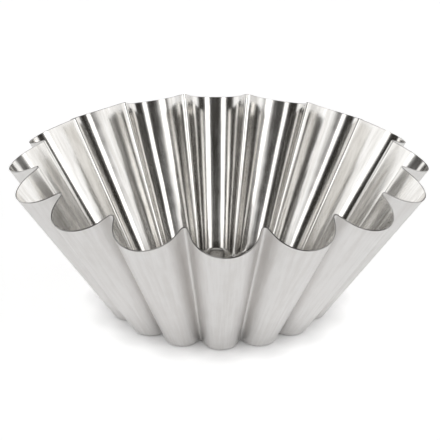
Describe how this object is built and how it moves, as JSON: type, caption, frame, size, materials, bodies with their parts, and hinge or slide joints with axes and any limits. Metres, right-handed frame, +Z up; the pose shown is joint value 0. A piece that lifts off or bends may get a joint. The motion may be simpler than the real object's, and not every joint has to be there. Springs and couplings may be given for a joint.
{
  "type": "brioche mould",
  "caption": "Open baking mould pressed from thin bright steel, with a flat floor, a flaring wall of round flutes and a raw rim that dips at each flute.",
  "frame": {"origin": "middle of the underside of the floor", "axes": "+Z up, out of the mould's mouth; one flute points along -Y"},
  "size_m": [0.22, 0.22, 0.0846],
  "materials": {
    "steel": "bright and polished inside, satin outside"
  },
  "bodies": {
    "root": {"fluted_mould": "steel"}
  },
  "joints": []
}
